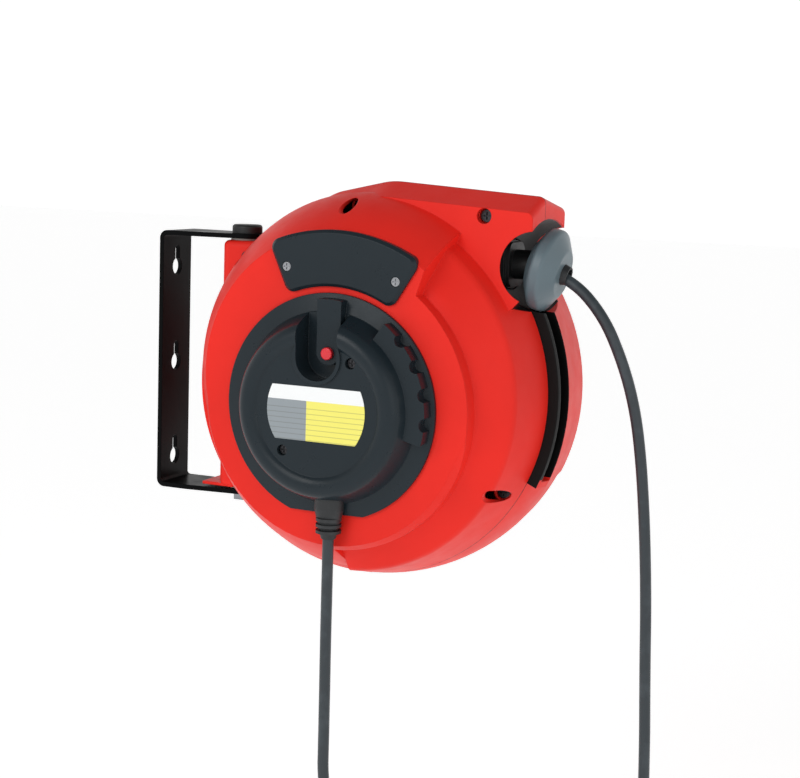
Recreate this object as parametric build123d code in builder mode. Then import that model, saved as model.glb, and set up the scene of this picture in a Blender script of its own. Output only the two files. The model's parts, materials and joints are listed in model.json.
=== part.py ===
"""Spring-driven extension cord reel on a swivelling wall bracket.

Origin: centre of the bracket plate's back face, on the wall.
+X points out of the wall towards the cord mouth, the front cover faces -Y, +Z is up.
Each sub-part is one STEP file in parts/.
"""

import os
from math import asin, cos, degrees, pi, radians, sin, sqrt, tan

from build123d import *

# ---------------------------------------------------------------- driving dimensions, mm
# wall bracket
STRAP_T = 4.0
PLATE_W = 46.0
PLATE_H = 227.0
BEND_R = 7.0
PIVOT_X = 74.0
ARM_TIP_R = 18.0
KEYHOLE_PITCH = 85.0
KEYHOLE_Z = -4.0
KEYHOLE_R = 7.5
KEYHOLE_SLOT_R = 3.5
KEYHOLE_RISE = 15.0

# swivel
BOLT_R = 5.0
BUSH_R = 9.0
BUSH_FLANGE_R = 14.0
BUSH_FLANGE_T = 1.5
LUG_Z = 107.7
LUG_LEFT_X = 59.0
LUG_HALF_Y = 20.0
SWING_DEG = 45.0
ARM_GAP = 2.5

# casing
AXIS_X = 196.0
AXIS_Z = -9.0
WALL = 3.5
SHELL_R = 160.5
FACE_Y = -84.0
SHELL_ARC = ((132.0, -56.0), (147.0, -30.5), (SHELL_R, -6.0))
# the front swells out twice: round the cover, and off centre towards the mouth
RING_ARC = ((113.5, FACE_Y), (126.5, -64.0), (143.0, -30.0))
SHOULDER_X = 203.0
SHOULDER_Z = 4.0
SHOULDER_ARC = ((119.0, FACE_Y), (136.0, -60.0), (150.0, -25.0))
RING_R = 118.0
LOW_Y = -71.0
CREASE_R = 149.0
CREASE_Y = -51.0
SPLIT_Y = -5.0
BELLY_R = 166.0
BELLY_Y = 36.0
REAR_EDGE_R = 163.5
REAR_EDGE_Y = 66.0
REAR_Y = 84.0
REAR_R = 150.0
LOW_START_DEG = -88.0
LOW_END_DEG = 53.0
LOW_EDGE_DEG = 72.0

# side rib and window
RIB_R = 172.0
RIB_START_DEG = -25.0
RIB_END_DEG = 34.0
RIB_REAR_Y = 72.0
RIB_REAR_R = 164.5
WINDOW_Y0 = -1.0
WINDOW_Y1 = 13.0
WINDOW_START_DEG = -23.0
WINDOW_END_DEG = 27.0

# mouth housing
HOUSING_RIGHT_X = 347.0
HOUSING_RIDGE = ((130.0, 136.0), (163.0, 152.5), (213.0, 164.0), (HOUSING_RIGHT_X, 155.8))
HOUSING_FRONT_DROP = 12.5
HOUSING_REAR_DROP = 9.0
HOUSING_FRONT_Y = -34.0
HOUSING_REAR_Y = 44.0
MOUTH_X = 350.0
MOUTH_R = 38.0
MOUTH_EDGE_R = 28.0

# cord, drum and the cord's path
CORD_R = 4.6
CORD_Y = 6.0
HUB_R = 70.0
FLANGE_R = 126.0
DRUM_Y0 = -40.0
DRUM_Y1 = 52.0
FLANGE_T = 3.0
PACK_R = 104.0
PACK_GAP = 0.7
SHAFT_R = 8.0
RUN_FIT = 0.05
RUN_Z = AXIS_Z + PACK_R + PACK_GAP + CORD_R
BEND_X = 334.0
STOP_TILT_DEG = 13.0

# front cover
COVER_X = 200.0
COVER_Z = -17.0
COVER_R = 92.0
COVER_FACE_Y = -111.0
COVER_CREST_Y = -114.0
COVER_SKIN = 2.5
RECESS_R = 18.0
RECESS_Z = COVER_Z + 42.0
RECESS_FLOOR_Y = -91.0
TONGUE_X = COVER_X + 3.6
TONGUE_R = 10.5
TONGUE_Y = -99.0
TAB_R = 88.0
BUTTON_R = 5.0
BUTTON_Z = RECESS_Z + 3.0
BUTTON_STROKE = 2.5

COVER_BACK_Y = FACE_Y
COVER_SCREWS = ((229, 23), (171, -51))
COVER_SCREW_Y = -108.5
POST_R = 7.0
GRIP_R = 89.0
GRIP_Y = -101.0
NOTCH_DEG = (42, 27, 12, -3)
CHORD_Z = -103.0

# supply cord's outlet
GLAND_X = 206.0
GLAND_Y = -94.2
GLAND_W = 12.5
GLAND_D = 9.7

# thermal cut-out
CUT_OUT_W = 19.0
CUT_OUT_FRONT_Y = -88.2
CUT_OUT_BACK_Y = -66.0
COLLAR_R = 7.0
COLLAR_Y = -96.2
COLLAR_T = 1.6
STEM_R = 2.0

# front panel
PANEL_IN_R = 97.0
PANEL_OUT_R = 142.0
PANEL_START_DEG = 58.0
PANEL_END_DEG = 114.0
PANEL_PROUD = 5.0
PANEL_FACE_Y = FACE_Y - PANEL_PROUD
PANEL_SCREW_R = 118.0
PANEL_SCREW_DEG = (PANEL_START_DEG + 4, PANEL_END_DEG - 4)

TOOTH_COUNT = 24

# screws that hold the halves together: x, z, level of the head, and 1 for driven from the front
SCREWS = (
    (AXIS_X, AXIS_Z + 152, -26, 1),
    (306, 139.5, -24, 1),
    (AXIS_X + 131.5, AXIS_Z - 74, -18, 1),
    (LUG_LEFT_X + 31, 95, -26, 1),
    (AXIS_X - 80, AXIS_Z - 130, 42, -1),
    (AXIS_X + 60, AXIS_Z - 141, 42, -1),
)
SCREW_R = 2.2
SCREW_HEAD_R = 5.0
SCREW_HEAD_T = 3.5
SCREW_L = 56.0
CHANNEL_R = 6.2
CHANNEL_L = 44.0
SCREW_BOSS_R = 8.0

# roller guide behind the mouth
GUIDE_X = 305.0
GUIDE_L = 25.0
GUIDE_W = 44.0

# shaft
SHAFT_FRONT_Y = -78.0
SHAFT_REAR_Y = 92.0
FRONT_HUB_R = 20.0
REAR_HUB_R = 18.0

DRUM_AXIS = Axis((AXIS_X, 0, AXIS_Z), (0, 1, 0))
COVER_AXIS = Axis((COVER_X, 0, COVER_Z), (0, 1, 0))
SHOULDER_AXIS = Axis((SHOULDER_X, 0, SHOULDER_Z), (0, 1, 0))
DRUM_PROFILE = Plane(origin=(AXIS_X, 0, AXIS_Z), x_dir=(1, 0, 0), z_dir=(0, 0, 1))
SHOULDER_PROFILE = Plane(origin=(SHOULDER_X, 0, SHOULDER_Z), x_dir=(1, 0, 0), z_dir=(0, 0, 1))
COVER_PROFILE = Plane(origin=(COVER_X, 0, COVER_Z), x_dir=(1, 0, 0), z_dir=(0, 0, 1))


def front_plane(x, y, z):
    """A plane facing -Y, with its own x along +X and its own y along +Z."""
    return Plane(origin=(x, y, z), x_dir=(1, 0, 0), z_dir=(0, -1, 0))


def drum_plane(y):
    return front_plane(AXIS_X, y, AXIS_Z)


def cover_plane(y):
    return front_plane(COVER_X, y, COVER_Z)


def level_plane(z, x=0.0, y=0.0):
    return Plane(origin=(x, y, z), x_dir=(1, 0, 0), z_dir=(0, 0, 1))


def polar(radius, angle_deg):
    return (radius * cos(radians(angle_deg)), radius * sin(radians(angle_deg)))


def save(builder, name):
    """Label a finished piece and write it."""
    builder.part.label = name
    export_step(builder.part, f"parts/{name}.step")


def sector_face(inner_r, outer_r, start_deg, end_deg):
    """A ring's sector, about the sketch's origin."""
    middle = (start_deg + end_deg) / 2
    with BuildSketch() as face:
        with BuildLine():
            ThreePointArc(polar(outer_r, start_deg), polar(outer_r, middle), polar(outer_r, end_deg))
            Line(polar(outer_r, end_deg), polar(inner_r, end_deg))
            ThreePointArc(polar(inner_r, end_deg), polar(inner_r, middle), polar(inner_r, start_deg))
            Line(polar(inner_r, start_deg), polar(outer_r, start_deg))
        make_face()
    return face.sketch


def corner_radii(points, share=0.45):
    """The largest gentle arc for each corner of a cord's route, with its size printed."""
    radii = []
    for before, here, after in zip(points, points[1:], points[2:]):
        run_in = Vector(*here) - Vector(*before)
        run_out = Vector(*after) - Vector(*here)
        half_turn = radians(run_in.get_angle(run_out)) / 2
        radii.append(share * min(run_in.length, run_out.length) / tan(half_turn))
    print("corner radii", [round(radius) for radius in radii])
    return radii


def cord_tube(points, radius, neighbour, name):
    """A cord's tube: straight runs joined by tangent arcs, cut back where it meets its neighbour."""
    with BuildPart() as tube:
        with BuildLine() as route:
            FilletPolyline(*points, radius=corner_radii(points))
        with BuildSketch(Plane(origin=route.line @ 0, z_dir=route.line % 0)):
            Circle(radius)
        sweep(path=route.line)
        length = route.wire().length
        ratio = tube.part.volume / (pi * radius**2 * length)
        print(name, "length", round(length), "volume ratio", round(ratio, 4))
        add(neighbour, mode=Mode.SUBTRACT)
    save(tube, name)


os.makedirs("parts", exist_ok=True)

# ================================================================ wall bracket and swivel
HALF_H = PLATE_H / 2
ARM_INNER_Z = HALF_H - STRAP_T

with BuildPart() as wall_bracket:
    # side view of the bent strip, a U lying on its back
    with BuildSketch(Plane.XZ):
        with BuildLine():
            FilletPolyline(
                (PIVOT_X + ARM_TIP_R, HALF_H),
                (0, HALF_H),
                (0, -HALF_H),
                (PIVOT_X + ARM_TIP_R, -HALF_H),
                radius=BEND_R,
            )
            Line((PIVOT_X + ARM_TIP_R, -HALF_H), (PIVOT_X + ARM_TIP_R, -ARM_INNER_Z))
            FilletPolyline(
                (PIVOT_X + ARM_TIP_R, -ARM_INNER_Z),
                (STRAP_T, -ARM_INNER_Z),
                (STRAP_T, ARM_INNER_Z),
                (PIVOT_X + ARM_TIP_R, ARM_INNER_Z),
                radius=BEND_R - STRAP_T,
            )
            Line((PIVOT_X + ARM_TIP_R, ARM_INNER_Z), (PIVOT_X + ARM_TIP_R, HALF_H))
        make_face()
    extrude(amount=PLATE_W / 2, both=True)
    # plan view: the arms narrow to a round tip about the pivot
    with BuildSketch(level_plane(-HALF_H - 1)):
        with BuildLine():
            Polyline(
                (PIVOT_X, ARM_TIP_R),
                (30, PLATE_W / 2),
                (-1, PLATE_W / 2),
                (-1, -PLATE_W / 2),
                (30, -PLATE_W / 2),
                (PIVOT_X, -ARM_TIP_R),
            )
            ThreePointArc((PIVOT_X, -ARM_TIP_R), (PIVOT_X + ARM_TIP_R, 0), (PIVOT_X, ARM_TIP_R))
        make_face()
    extrude(amount=PLATE_H + 2, mode=Mode.INTERSECT)
    with Locations((PIVOT_X, 0, 0)):
        Cylinder(BOLT_R + RUN_FIT, PLATE_H + 2, mode=Mode.SUBTRACT)
    # keyholes: a round hole for the screw's head with a slot above it for the shank
    with BuildSketch(Plane.YZ):
        with Locations(*[(0, KEYHOLE_Z + row * KEYHOLE_PITCH) for row in (-1, 0, 1)]):
            Circle(KEYHOLE_R)
        with Locations(
            *[(0, KEYHOLE_Z + row * KEYHOLE_PITCH + KEYHOLE_RISE / 2) for row in (-1, 0, 1)]
        ):
            SlotCenterToCenter(KEYHOLE_RISE, 2 * KEYHOLE_SLOT_R, rotation=90)
    extrude(amount=STRAP_T, mode=Mode.SUBTRACT)
save(wall_bracket, "wall_bracket")

BOLT_END_Z = 88.0
LOW_BOLT_END_Z = 93.0
HEAD_T = 5.5
CAP_R = 13.0
CAP_T = 7.5

with BuildPart() as upper_pivot_bolt:
    with BuildSketch(level_plane(BOLT_END_Z, PIVOT_X)):
        Circle(BOLT_R)
    extrude(amount=HALF_H - BOLT_END_Z)
    with BuildSketch(level_plane(HALF_H, PIVOT_X)):
        RegularPolygon(8.5, 6)
    extrude(amount=HEAD_T)
save(upper_pivot_bolt, "upper_pivot_bolt")

with BuildPart() as lower_pivot_bolt:
    with BuildSketch(level_plane(-HALF_H, PIVOT_X)):
        Circle(BOLT_R)
    extrude(amount=HALF_H - LOW_BOLT_END_Z)
    with BuildSketch(level_plane(-HALF_H - HEAD_T - 1.5, PIVOT_X)):
        RegularPolygon(8.5, 6)
    extrude(amount=HEAD_T)
    with BuildSketch(level_plane(-HALF_H - 1.5, PIVOT_X)):
        Circle(12)
    extrude(amount=1.5)
save(lower_pivot_bolt, "lower_pivot_bolt")

with BuildPart() as pivot_cap:
    with BuildSketch(level_plane(HALF_H, PIVOT_X)):
        Circle(CAP_R)
    extrude(amount=CAP_T)
    fillet(pivot_cap.edges().group_by(Axis.Z)[-1], 2.5)
    with BuildSketch(level_plane(HALF_H, PIVOT_X)):
        Circle(9)
    extrude(amount=HEAD_T + 0.3, mode=Mode.SUBTRACT)
save(pivot_cap, "pivot_cap")


def pivot_bush(direction, end_z, name):
    """Flanged bush in a casing lug; direction is +1 for the upper lug, -1 for the lower."""
    low = min(direction * end_z, direction * LUG_Z)
    flange_low = min(direction * LUG_Z, direction * (LUG_Z + BUSH_FLANGE_T))
    with BuildPart() as bush:
        with BuildSketch(level_plane(low, PIVOT_X)):
            Circle(BUSH_R)
        extrude(amount=LUG_Z - end_z)
        with BuildSketch(level_plane(flange_low, PIVOT_X)):
            Circle(BUSH_FLANGE_R)
        extrude(amount=BUSH_FLANGE_T)
        with Locations((PIVOT_X, 0, direction * LUG_Z)):
            Cylinder(BOLT_R + RUN_FIT, 3 * LUG_Z, mode=Mode.SUBTRACT)
    save(bush, name)


pivot_bush(1, BOLT_END_Z, "upper_pivot_bush")
pivot_bush(-1, LOW_BOLT_END_Z, "lower_pivot_bush")

# ================================================================ casing building blocks
CAVITY_FACE_Y = FACE_Y + WALL
CAVITY_REAR_Y = REAR_Y - WALL


def dome(profile, axis, arc, grow):
    """A round form whose side follows an arc of three (radius, y) points."""
    (front_r, front_y), (middle_r, middle_y), (back_r, back_y) = arc
    with BuildPart() as form:
        with BuildSketch(profile):
            with BuildLine():
                Line((0, front_y - grow), (front_r, front_y - grow))
                ThreePointArc(
                    (front_r, front_y - grow),
                    (middle_r + 0.8 * grow, middle_y - 0.6 * grow),
                    (back_r + grow, back_y),
                )
                Polyline(
                    (back_r + grow, back_y),
                    (back_r + grow, SPLIT_Y),
                    (0, SPLIT_Y),
                    (0, front_y - grow),
                )
            make_face()
        revolve(axis=axis)
    return form.part


def raised_form(grow):
    """The round shell with the two swellings that carry the cover and the panel."""
    with BuildPart() as form:
        add(dome(DRUM_PROFILE, DRUM_AXIS, SHELL_ARC, grow))
        add(dome(COVER_PROFILE, COVER_AXIS, RING_ARC, grow))
        add(dome(SHOULDER_PROFILE, SHOULDER_AXIS, SHOULDER_ARC, grow))
    return form.part


def lowered_form(grow):
    """The round body of the lowered sector, with its sharper crease."""
    with BuildPart() as form:
        with BuildSketch(DRUM_PROFILE):
            with BuildLine():
                FilletPolyline(
                    (0, LOW_Y - grow),
                    (RING_R, LOW_Y - grow),
                    (CREASE_R + grow, CREASE_Y - grow),
                    (SHELL_R + grow, SPLIT_Y),
                    radius=[30, 9 + grow],
                )
                Polyline((SHELL_R + grow, SPLIT_Y), (0, SPLIT_Y), (0, LOW_Y - grow))
            make_face()
        revolve(axis=DRUM_AXIS)
    return form.part


def sector_block(grow):
    """Everything outside the raised ring, from 1:30 round to 6 o'clock."""
    extra_deg = degrees(grow / RING_R)
    corner_x, corner_z = polar(RING_R - grow, LOW_END_DEG + extra_deg)
    end_x, end_z = polar(130, LOW_EDGE_DEG)
    with BuildPart() as block:
        with BuildSketch(cover_plane(SPLIT_Y)):
            add(sector_face(RING_R - grow, 230, LOW_START_DEG - extra_deg, LOW_END_DEG + 10))
            with BuildLine():
                Polyline(
                    (corner_x, corner_z),
                    (corner_x + end_x, corner_z + end_z),
                    (0, corner_z + end_z),
                    (0, corner_z),
                    close=True,
                )
            make_face(mode=Mode.SUBTRACT)
        extrude(amount=100)
    return block.part


def housing_face(grow, drop):
    """Outline of the mouth housing, seen from the front, its ridge lowered by drop."""
    ridge = [(x - AXIS_X, z - AXIS_Z - drop + grow) for x, z in HOUSING_RIDGE]
    left = (ridge[0][0] - 4 * grow, ridge[0][1])
    right = ridge[-1][0] + grow
    with BuildSketch() as face:
        with BuildLine():
            FilletPolyline(
                left,
                ridge[1],
                ridge[2],
                (right, ridge[-1][1]),
                (right, 92 - grow),
                (right - 30, 60 - grow),
                (0, 40),
                close=True,
                radius=[16, 40, 60, 6 + grow, 4, 4, 4],
            )
        make_face()
    return face.sketch


def housing_half(grow, end_y, drop):
    """Half of the mouth housing, its top falling away from the ridge on the split."""
    with BuildPart() as block:
        with BuildSketch(drum_plane(SPLIT_Y)):
            add(housing_face(grow, 0))
        with BuildSketch(drum_plane(end_y)):
            add(housing_face(grow, drop))
        loft(ruled=True)
    return block.part


def housing_front(grow):
    return housing_half(grow, HOUSING_FRONT_Y - grow, HOUSING_FRONT_DROP)


def housing_rear(grow):
    return housing_half(grow, HOUSING_REAR_Y + grow, HOUSING_REAR_DROP)


def mouth_scoop(grow):
    """The hollow that the cord stop seats in: widest at the cord's plane."""
    profile = Plane(origin=(MOUTH_X, 0, RUN_Z), x_dir=(1, 0, 0), z_dir=(0, 0, 1))
    reach = HOUSING_REAR_Y + 4
    front = 2 * CORD_Y - reach
    with BuildPart() as scoop:
        with BuildSketch(profile):
            with BuildLine():
                ThreePointArc(
                    (MOUTH_EDGE_R + grow, front),
                    (MOUTH_R + grow, CORD_Y),
                    (MOUTH_EDGE_R + grow, reach),
                )
                Polyline((MOUTH_EDGE_R + grow, reach), (0, reach), (0, front), (MOUTH_EDGE_R + grow, front))
            make_face()
        revolve(axis=Axis((MOUTH_X, 0, RUN_Z), (0, 1, 0)))
    return scoop.part


def arm_sweep(grow, inner_z):
    """The room that both bracket arms need while the casing swings."""
    radius = ARM_TIP_R + ARM_GAP - grow
    reach = 120.0
    with BuildPart() as room:
        for sign in (1, -1):
            for step in range(-3, 4):
                swing = 180 + step * (SWING_DEG + 5) / 3
                centre = (PIVOT_X + reach / 2 * cos(radians(swing)), reach / 2 * sin(radians(swing)))
                with BuildSketch(level_plane(sign * (inner_z + 30), *centre)):
                    SlotCenterToCenter(reach, 2 * radius, rotation=swing)
                extrude(amount=30, both=True)
    return room.part


def lug_blocks():
    """The corners that carry the pivot bushes, at the top and bottom of the left side."""
    with BuildPart() as lugs:
        for sign in (1, -1):
            with Locations((LUG_LEFT_X + 22, 0, sign * (LUG_Z - 26))):
                Box(44, 2 * LUG_HALF_Y, 52)
        fillet(lugs.edges().filter_by(Axis.Z).group_by(Axis.X)[0], 9)
        fillet(lugs.edges().filter_by(Axis.Y).group_by(Axis.X)[0], 5)
        # thin tab that rides over the lower arm
        with Locations((LUG_LEFT_X, 0, 1.25 - LUG_Z)):
            Box(30, 2 * LUG_HALF_Y - 4, 2.5)
    return lugs.part


def lug_cores():
    """Solid columns round the bushes, kept out of the cavity."""
    with BuildPart() as cores:
        for sign, end_z in ((1, BOLT_END_Z), (-1, LOW_BOLT_END_Z)):
            with Locations((PIVOT_X, 0, sign * (end_z + 20))):
                Cylinder(BUSH_R + 4, 44)
    return cores.part


def screw_bosses():
    with BuildPart() as bosses:
        for x, z, head_y, side in SCREWS:
            with BuildSketch(front_plane(x, head_y + side * (SCREW_L + 6), z)):
                Circle(SCREW_BOSS_R)
            extrude(amount=side * (SCREW_L + 10))
    return bosses.part


def screw_rooms():
    """Open channel in front of each head, and the hole for its shank."""
    with BuildPart() as rooms:
        for x, z, head_y, side in SCREWS:
            with BuildSketch(front_plane(x, head_y, z)):
                Circle(CHANNEL_R)
            extrude(amount=side * CHANNEL_L)
            with BuildSketch(front_plane(x, head_y + side * SCREW_L, z)):
                Circle(SCREW_R)
            extrude(amount=side * SCREW_L)
    return rooms.part


def guide_window():
    with BuildPart() as window:
        with Locations((GUIDE_X, CORD_Y, RUN_Z)):
            Box(GUIDE_L, GUIDE_W, GUIDE_W)
    return window.part


raised = raised_form(0)
sector = sector_block(0)
lugs = lug_blocks()
arm_room = arm_sweep(0, LUG_Z)
scoop = mouth_scoop(0)
bosses = screw_bosses()
rooms = screw_rooms()
window = guide_window()

# ---------------------------------------------------------------- front casing half
with BuildPart() as front_cavity:
    add(raised_form(-WALL))
    add(sector_block(WALL), mode=Mode.SUBTRACT)
    with BuildPart(mode=Mode.PRIVATE) as low_cavity:
        add(lowered_form(-WALL))
        add(sector_block(WALL), mode=Mode.INTERSECT)
    add(low_cavity.part)
    add(housing_front(-WALL))
    add(mouth_scoop(WALL), mode=Mode.SUBTRACT)
    add(arm_sweep(-WALL, LUG_Z - WALL), mode=Mode.SUBTRACT)
    add(lug_cores(), mode=Mode.SUBTRACT)
    add(bosses, mode=Mode.SUBTRACT)
    with BuildSketch(drum_plane(SHAFT_FRONT_Y + 14)):
        Circle(FRONT_HUB_R)
    extrude(amount=20, mode=Mode.SUBTRACT)

with BuildPart() as front_half_space:
    with Locations((200, SPLIT_Y - 100, 0)):
        Box(600, 200, 600)

with BuildPart() as front_casing:
    add(raised)
    add(sector, mode=Mode.SUBTRACT)
    with BuildPart(mode=Mode.PRIVATE) as low_body:
        add(lowered_form(0))
        add(sector, mode=Mode.INTERSECT)
    add(low_body.part)
    add(housing_front(0))
    add(lugs)
    add(front_half_space.part, mode=Mode.INTERSECT)
    add(front_cavity.part, mode=Mode.SUBTRACT)
    add(scoop, mode=Mode.SUBTRACT)
    add(arm_room, mode=Mode.SUBTRACT)
    add(rooms, mode=Mode.SUBTRACT)
    add(window, mode=Mode.SUBTRACT)
    with Locations((PIVOT_X, 0, 0)):
        Cylinder(BUSH_R, 4 * LUG_Z, mode=Mode.SUBTRACT)
    with BuildSketch(drum_plane(0)):
        Circle(SHAFT_R)
    extrude(amount=-SHAFT_FRONT_Y, mode=Mode.SUBTRACT)
    # holes in the front wall for the cut-out and for the cover's and panel's screws
    with BuildSketch(cover_plane(FACE_Y + 20)):
        with Locations((TONGUE_X - COVER_X, BUTTON_Z - COVER_Z)):
            RectangleRounded(CUT_OUT_W, CUT_OUT_W, 2)
        with Locations(*[(x - COVER_X, z - COVER_Z) for x, z in COVER_SCREWS]):
            Circle(1.9)
        with Locations(*[polar(PANEL_SCREW_R, angle) for angle in PANEL_SCREW_DEG]):
            Circle(1.9)
    extrude(amount=40, mode=Mode.SUBTRACT)
save(front_casing, "front_casing")

# ---------------------------------------------------------------- rear casing half
def rear_form(grow):
    with BuildPart() as form:
        with BuildSketch(DRUM_PROFILE):
            with BuildLine():
                ThreePointArc(
                    (SHELL_R + grow, SPLIT_Y),
                    (BELLY_R + grow, BELLY_Y),
                    (REAR_EDGE_R + grow, REAR_EDGE_Y),
                )
                ThreePointArc(
                    (REAR_EDGE_R + grow, REAR_EDGE_Y),
                    (REAR_EDGE_R - 3.5 + grow, REAR_Y - 6 + grow),
                    (REAR_R, REAR_Y + grow),
                )
                Polyline(
                    (REAR_R, REAR_Y + grow),
                    (0, REAR_Y + grow),
                    (0, SPLIT_Y),
                    (SHELL_R + grow, SPLIT_Y),
                )
            make_face()
        revolve(axis=DRUM_AXIS)
    return form.part


with BuildPart() as side_rib:
    with BuildSketch(DRUM_PROFILE.rotated((0, -RIB_START_DEG, 0))):
        with BuildLine():
            Polyline(
                (SHELL_R - 8, SPLIT_Y),
                (RIB_R - 3, SPLIT_Y),
                (RIB_R - 2.2, WINDOW_Y0),
                (RIB_R, WINDOW_Y1),
                (RIB_REAR_R, RIB_REAR_Y),
                (SHELL_R - 8, RIB_REAR_Y + 6),
                close=True,
            )
        make_face()
    revolve(axis=DRUM_AXIS, revolution_arc=-(RIB_END_DEG - RIB_START_DEG))

with BuildPart() as rear_cavity:
    add(rear_form(-WALL))
    add(housing_rear(-WALL))
    add(mouth_scoop(WALL), mode=Mode.SUBTRACT)
    add(arm_sweep(-WALL, LUG_Z - WALL), mode=Mode.SUBTRACT)
    add(lug_cores(), mode=Mode.SUBTRACT)
    add(bosses, mode=Mode.SUBTRACT)
    with BuildSketch(drum_plane(CAVITY_REAR_Y + 1)):
        Circle(REAR_HUB_R)
    extrude(amount=4, mode=Mode.SUBTRACT)

with BuildPart() as rear_half_space:
    with Locations((200, SPLIT_Y + 100, 0)):
        Box(600, 200, 600)

with BuildPart() as rear_casing:
    add(rear_form(0))
    add(side_rib.part)
    add(housing_rear(0))
    add(lugs)
    add(rear_half_space.part, mode=Mode.INTERSECT)
    add(rear_cavity.part, mode=Mode.SUBTRACT)
    add(scoop, mode=Mode.SUBTRACT)
    add(arm_room, mode=Mode.SUBTRACT)
    add(rooms, mode=Mode.SUBTRACT)
    add(window, mode=Mode.SUBTRACT)
    with BuildSketch(drum_plane(WINDOW_Y1)):
        add(sector_face(SHELL_R - 20, RIB_R + 10, WINDOW_START_DEG, WINDOW_END_DEG))
    extrude(amount=WINDOW_Y1 - WINDOW_Y0, mode=Mode.SUBTRACT)
    with Locations((PIVOT_X, 0, 0)):
        Cylinder(BUSH_R, 4 * LUG_Z, mode=Mode.SUBTRACT)
    with BuildSketch(drum_plane(REAR_Y + 5)):
        Circle(SHAFT_R)
    extrude(amount=20, mode=Mode.SUBTRACT)
save(rear_casing, "rear_casing")

with BuildPart() as casing_screws:
    for x, z, head_y, side in SCREWS:
        with BuildSketch(front_plane(x, head_y + side * SCREW_L, z)):
            Circle(SCREW_R)
        extrude(amount=side * SCREW_L)
        with BuildSketch(front_plane(x, head_y, z)):
            Circle(SCREW_HEAD_R)
        extrude(amount=side * SCREW_HEAD_T)
        with BuildSketch(front_plane(x, head_y - side * (SCREW_HEAD_T - 1.8), z)):
            Rectangle(6, 1.2)
            Rectangle(1.2, 6)
        extrude(amount=side * 4, mode=Mode.SUBTRACT)
save(casing_screws, "casing_screws")

# ================================================================ front cover and its fittings
def cover_form(shrink):
    """Solid of revolution of the cover: flat face, rolled rim, side wall and flange."""
    with BuildPart() as form:
        with BuildSketch(COVER_PROFILE):
            with BuildLine():
                Polyline((COVER_R - shrink, COVER_BACK_Y), (0, COVER_BACK_Y), (0, COVER_FACE_Y + shrink))
                Line((0, COVER_FACE_Y + shrink), (53, COVER_FACE_Y + shrink))
                ThreePointArc(
                    (53, COVER_FACE_Y + shrink),
                    (62, COVER_CREST_Y + shrink),
                    (71 - shrink, COVER_FACE_Y + 4 + shrink),
                )
                Polyline(
                    (71 - shrink, COVER_FACE_Y + 4 + shrink),
                    (78 - shrink, COVER_BACK_Y - 6 + shrink),
                    (COVER_R - shrink, COVER_BACK_Y - 3 + shrink),
                    (COVER_R - shrink, COVER_BACK_Y),
                )
            make_face()
        revolve(axis=COVER_AXIS)
    return form.part


def recess_room(grow):
    """The open recess round the reset button, with the tongue left standing in it."""
    with BuildPart() as room:
        with BuildSketch(cover_plane(RECESS_FLOOR_Y + grow)):
            with Locations((0, RECESS_Z - COVER_Z + 40)):
                SlotCenterToCenter(80, 2 * (RECESS_R + grow), rotation=90)
        extrude(amount=40)
        with BuildSketch(cover_plane(RECESS_FLOOR_Y + 10)):
            with Locations((TONGUE_X - COVER_X, RECESS_Z - COVER_Z + 44)):
                SlotCenterToCenter(80, 2 * (TONGUE_R - grow), rotation=90)
        extrude(amount=RECESS_FLOOR_Y + 10 - TONGUE_Y - grow, mode=Mode.SUBTRACT)
    return room.part


gland_hole = Plane(origin=(GLAND_X, GLAND_Y, -60), x_dir=(1, 0, 0), z_dir=(0, 0, -1))

with BuildPart() as cover_cavity:
    add(cover_form(COVER_SKIN))
    add(recess_room(COVER_SKIN), mode=Mode.SUBTRACT)
    with BuildSketch(cover_plane(COVER_BACK_Y)):
        with Locations(*[(x - COVER_X, z - COVER_Z) for x, z in COVER_SCREWS]):
            Circle(POST_R)
    extrude(amount=40, mode=Mode.SUBTRACT)
    with Locations((COVER_X, COVER_BACK_Y, CHORD_Z + COVER_SKIN - 50)):
        Box(300, 80, 100, mode=Mode.SUBTRACT)

with BuildPart() as front_cover:
    add(cover_form(0))
    # grip band on the right, with finger notches
    with BuildSketch(cover_plane(COVER_BACK_Y)):
        add(sector_face(70, GRIP_R, -14, 54))
        fillet(vertices().group_by(Axis.X)[-1], 2)
        with Locations(*[polar(GRIP_R + 1, angle) for angle in NOTCH_DEG]):
            Circle(5.5, mode=Mode.SUBTRACT)
    extrude(amount=COVER_BACK_Y - GRIP_Y)
    # tab that carries the tongue out to the rim
    with BuildSketch(cover_plane(COVER_BACK_Y)):
        with Locations((TONGUE_X - COVER_X, 72)):
            Rectangle(2 * TONGUE_R, 40)
        Circle(TAB_R, mode=Mode.INTERSECT)
    extrude(amount=COVER_BACK_Y - TONGUE_Y)
    # raised lip round the recess
    with BuildSketch(cover_plane(COVER_FACE_Y)):
        with Locations((0, RECESS_Z - COVER_Z)):
            Circle(RECESS_R + 3)
    extrude(amount=2)
    add(cover_cavity.part, mode=Mode.SUBTRACT)
    add(recess_room(0), mode=Mode.SUBTRACT)
    with Locations((COVER_X, COVER_BACK_Y, CHORD_Z - 50)):
        Box(300, 80, 100, mode=Mode.SUBTRACT)
    for x, z in COVER_SCREWS:
        with BuildSketch(front_plane(x, COVER_SCREW_Y + 4, z)):
            Circle(4.4)
        extrude(amount=20, mode=Mode.SUBTRACT)
        with BuildSketch(front_plane(x, COVER_BACK_Y, z)):
            Circle(1.9)
        extrude(amount=30, mode=Mode.SUBTRACT)
    with BuildSketch(gland_hole):
        Ellipse(GLAND_W, GLAND_D)
    extrude(amount=60, mode=Mode.SUBTRACT)
    with BuildSketch(front_plane(TONGUE_X, RECESS_FLOOR_Y, BUTTON_Z)):
        Circle(BUTTON_R + 0.1)
    extrude(amount=20, mode=Mode.SUBTRACT)
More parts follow.
